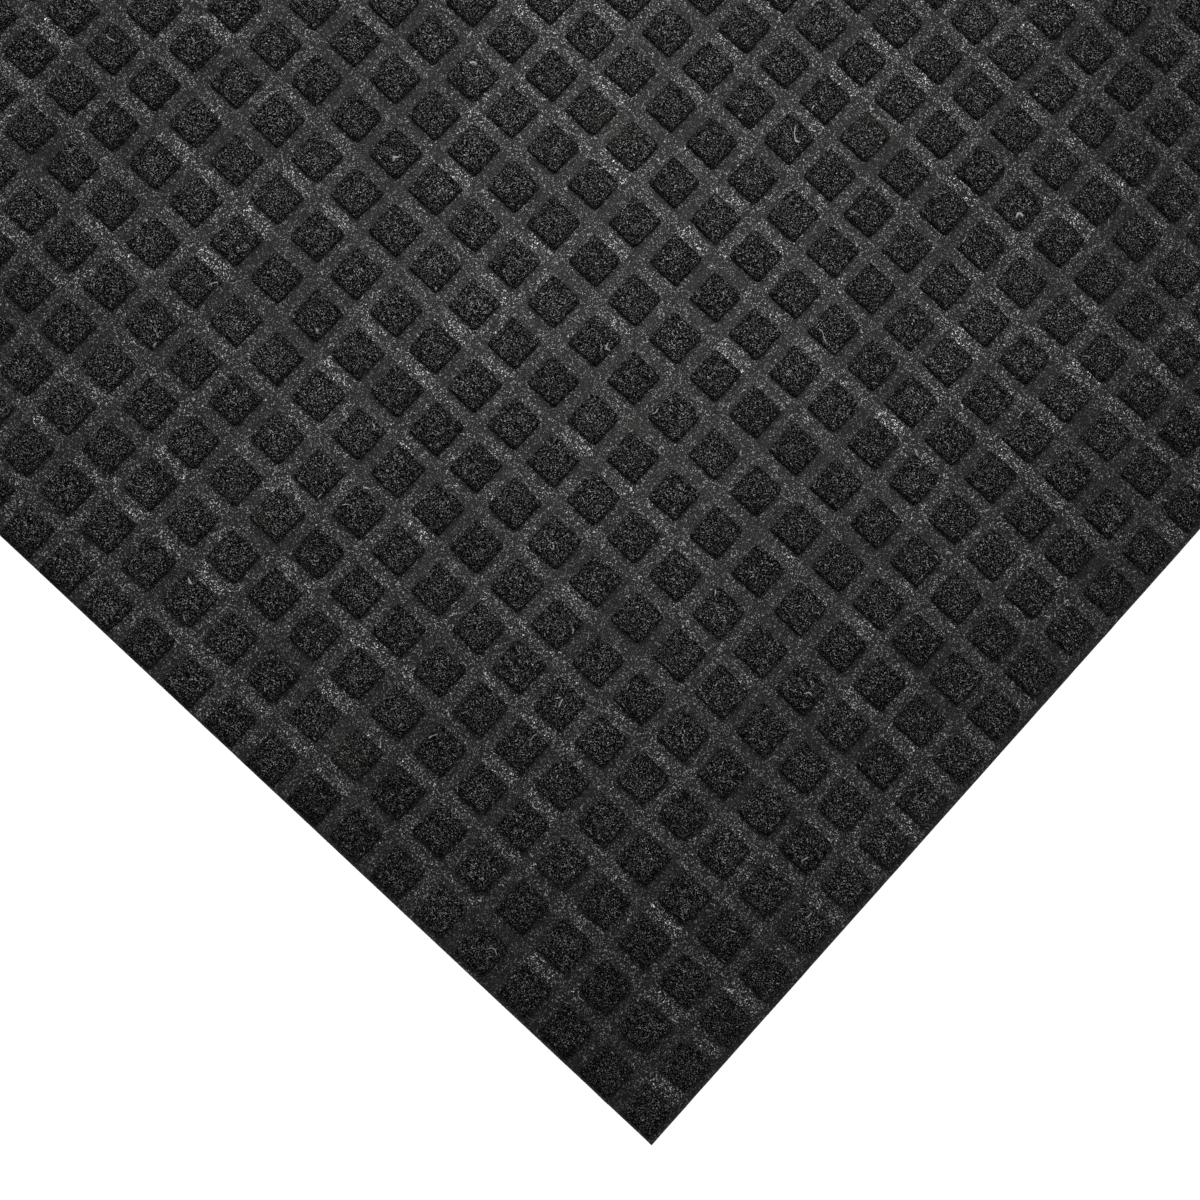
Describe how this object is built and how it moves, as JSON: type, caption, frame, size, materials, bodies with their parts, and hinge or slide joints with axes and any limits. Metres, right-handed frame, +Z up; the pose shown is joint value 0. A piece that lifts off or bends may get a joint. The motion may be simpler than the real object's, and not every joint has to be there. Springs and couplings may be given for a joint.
{
  "type": "door mat",
  "caption": "Rectangular black door mat with a waffle face of raised felt squares between pressed channels, bare cut edges and a flat rubber back.",
  "frame": {"origin": "centre of the flat underside", "axes": "+X along the long side, +Y along the short side, +Z up through the felt face"},
  "size_m": [0.6, 0.4, 0.0066],
  "materials": {
    "backing_rubber": "matt moulded sheet",
    "binder_latex": "dull filled latex",
    "scrim_weave": "plain-woven flat tape",
    "felt_fibre": "needle-punched fibre, loose on the squares and pressed in the channels"
  },
  "bodies": {
    "root": {"rubber_backing": "backing_rubber", "binder_coat": "binder_latex", "carrier_scrim": "scrim_weave", "face_felt": "felt_fibre"}
  },
  "joints": []
}
